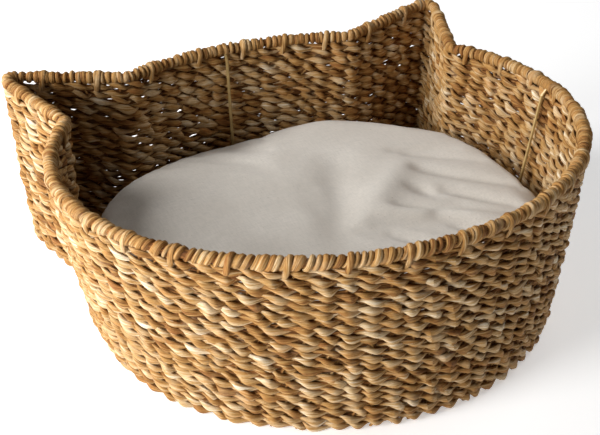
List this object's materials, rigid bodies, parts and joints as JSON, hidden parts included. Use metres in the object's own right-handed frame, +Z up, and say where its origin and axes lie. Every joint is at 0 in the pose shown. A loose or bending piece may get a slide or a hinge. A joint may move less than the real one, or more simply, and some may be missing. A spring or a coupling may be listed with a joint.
{
  "type": "wicker pet bed basket",
  "caption": "Oval woven seagrass pet bed with two pointed ear corners at the back, a wrapped rim over a wire frame, and a loose domed cotton cushion.",
  "frame": {"origin": "on the surface the basket stands on, under the middle of the rim oval", "axes": "+Z up, +Y towards the two ears, +X to the right seen from the front; the front has no ears"},
  "size_m": [0.5134, 0.4517, 0.1843],
  "materials": {
    "seagrass": "twined dry seagrass strands, satin, streaked straw to brown",
    "stakes": "twisted dry seagrass cord, matt",
    "rim": "pale golden flat grass strand wound tight, satin",
    "wire": "thin brass-brown lacquer on steel wire",
    "cotton": "unbleached plain-weave cotton, matt, fine flecks",
    "filling": "loose white polyester fibre"
  },
  "bodies": {
    "basket": {"wall_weave_outer": "seagrass", "wall_weave_inner": "seagrass", "wall_stakes": "stakes", "floor_weave_lower": "seagrass", "floor_weave_upper": "seagrass", "floor_stakes": "stakes", "top_hoop": "wire", "base_hoop": "wire", "upright_right": "wire", "upright_back": "wire", "upright_left": "wire", "upright_front": "wire", "floor_wire_across": "wire", "floor_wire_lengthwise": "wire", "rim_wrap_back_right": "rim", "rim_wrap_back_left": "rim", "rim_wrap_front_left": "rim", "rim_wrap_front_right": "rim", "rim_lashing_01": "rim", "rim_lashing_02": "rim", "rim_lashing_03": "rim", "rim_lashing_04": "rim", "rim_lashing_05": "rim", "rim_lashing_06": "rim", "rim_lashing_07": "rim", "rim_lashing_08": "rim", "rim_lashing_09": "rim", "rim_lashing_10": "rim", "rim_lashing_11": "rim", "rim_lashing_12": "rim", "rim_lashing_13": "rim", "rim_lashing_14": "rim", "rim_lashing_15": "rim", "rim_lashing_16": "rim", "rim_lashing_17": "rim", "rim_lashing_18": "rim", "rim_lashing_19": "rim", "rim_lashing_20": "rim", "rim_lashing_21": "rim", "rim_lashing_22": "rim", "rim_lashing_23": "rim", "rim_lashing_24": "rim", "rim_lashing_25": "rim", "rim_lashing_26": "rim", "rim_lashing_27": "rim", "rim_lashing_28": "rim", "rim_lashing_29": "rim", "rim_lashing_30": "rim", "rim_lashing_31": "rim", "rim_lashing_32": "rim", "rim_lashing_33": "rim", "rim_lashing_34": "rim", "rim_lashing_35": "rim"},
    "cushion": {"cushion_cover_top": "cotton", "cushion_cover_bottom": "cotton", "cushion_filling": "filling"}
  },
  "joints": [
    {"name": "cushion_lift", "type": "slide", "parent": "basket", "child": "cushion", "axis": [0, 0, 1], "range_m": [0, 0.22]}
  ]
}
